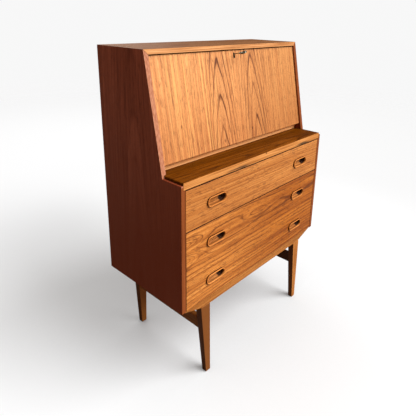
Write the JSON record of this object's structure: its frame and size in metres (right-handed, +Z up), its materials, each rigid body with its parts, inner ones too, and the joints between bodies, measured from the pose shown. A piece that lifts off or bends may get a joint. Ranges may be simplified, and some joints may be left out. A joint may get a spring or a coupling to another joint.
{
  "type": "secretary desk",
  "caption": "Drop-front secretary desk with a sloping locking flap, pull-out slide, full-width drawers with raised oval pulls, a fitted interior and tapered legs.",
  "frame": {"origin": "on the floor, at the middle of the closed desk's outline seen from above", "axes": "+Z up, +X towards the desk's right side as its user sees it, -Y towards the user, where the drawers and the flap open"},
  "size_m": [0.78, 0.3838, 1.0878],
  "materials": {
    "teak_front": "satin oiled teak veneer, horizontal grain",
    "teak_flap": "satin oiled teak veneer, upright grain",
    "teak_top": "satin oiled teak veneer",
    "teak_side": "satin oiled teak veneer, upright grain",
    "teak_solid": "oiled solid teak",
    "beech": "planed beech",
    "plywood": "stained plywood",
    "brass_fittings": "aged brass",
    "steel_fittings": "dull nickelled steel"
  },
  "bodies": {
    "cabinet": {"left_side": "teak_side", "right_side": "teak_side", "top_panel": "teak_top", "back_panel": "plywood", "bottom_panel": "teak_side", "desk_board": "teak_top", "flap_stop": "teak_solid", "strike_plate": "brass_fittings", "upper_drawer_runner_left": "beech", "upper_drawer_runner_right": "beech", "lower_drawer_runner_left": "beech", "lower_drawer_runner_right": "beech", "front_leg_left": "teak_solid", "front_leg_right": "teak_solid", "rear_leg_left": "teak_solid", "rear_leg_right": "teak_solid", "front_apron": "teak_solid", "rear_apron": "teak_solid", "side_stretcher_left": "teak_solid", "side_stretcher_right": "teak_solid", "left_hinge_desk_leaf": "brass_fittings", "right_hinge_desk_leaf": "brass_fittings", "left_hinge_pin": "brass_fittings", "right_hinge_pin": "brass_fittings", "gallery_shelf": "teak_top", "gallery_divider_left": "teak_solid", "gallery_divider_right": "teak_solid"},
    "flap": {"flap_panel": "teak_flap", "keyhole_escutcheon": "brass_fittings", "lock_case": "brass_fittings", "left_hinge_flap_leaf": "brass_fittings", "right_hinge_flap_leaf": "brass_fittings"},
    "key": {"key": "steel_fittings"},
    "bolt": {"lock_bolt": "steel_fittings"},
    "slide": {"slide_board": "teak_top"},
    "upper_drawer": {"upper_drawer_front": "teak_front", "upper_drawer_left_side": "beech", "upper_drawer_right_side": "beech", "upper_drawer_back": "beech", "upper_drawer_bottom": "plywood", "upper_drawer_pull_left": "teak_solid", "upper_drawer_pull_right": "teak_solid"},
    "lower_drawer": {"lower_drawer_front": "teak_front", "lower_drawer_left_side": "beech", "lower_drawer_right_side": "beech", "lower_drawer_back": "beech", "lower_drawer_bottom": "plywood", "lower_drawer_upper_pull_left": "teak_solid", "lower_drawer_upper_pull_right": "teak_solid", "lower_drawer_lower_pull_left": "teak_solid", "lower_drawer_lower_pull_right": "teak_solid"},
    "small_drawer_left": {"small_drawer_left_front": "teak_front", "small_drawer_left_tray": "beech"},
    "small_drawer_right": {"small_drawer_right_front": "teak_front", "small_drawer_right_tray": "beech"}
  },
  "joints": [
    {"name": "flap_hinge", "type": "hinge", "parent": "cabinet", "child": "flap", "pos_m": [0, -0.07393, 0.7535], "axis": [1, 0, 0], "range_deg": [0, 101]},
    {"name": "slide_pull", "type": "slide", "parent": "cabinet", "child": "slide", "axis": [0, -1, 0], "range_m": [0, 0.17]},
    {"name": "upper_drawer_slide", "type": "slide", "parent": "cabinet", "child": "upper_drawer", "axis": [0, -1, 0], "range_m": [0, 0.26]},
    {"name": "lower_drawer_slide", "type": "slide", "parent": "cabinet", "child": "lower_drawer", "axis": [0, -1, 0], "range_m": [0, 0.26]},
    {"name": "key_turn", "type": "hinge", "parent": "flap", "child": "key", "pos_m": [0, -0.03534, 1.05693], "axis": [0, -0.9816, 0.1908], "range_deg": [0, 90]},
    {"name": "bolt_throw", "type": "slide", "parent": "flap", "child": "bolt", "axis": [0, 0.1908, 0.9816], "range_m": [0, 0.01]},
    {"name": "small_drawer_pull_left", "type": "slide", "parent": "cabinet", "child": "small_drawer_left", "axis": [0, -1, 0], "range_m": [0, 0.065]},
    {"name": "small_drawer_pull_right", "type": "slide", "parent": "cabinet", "child": "small_drawer_right", "axis": [0, -1, 0], "range_m": [0, 0.065]}
  ],
  "couplings": [
    {"joint": "bolt_throw", "follows": "key_turn", "m_per_rad": 0.0063661}
  ]
}
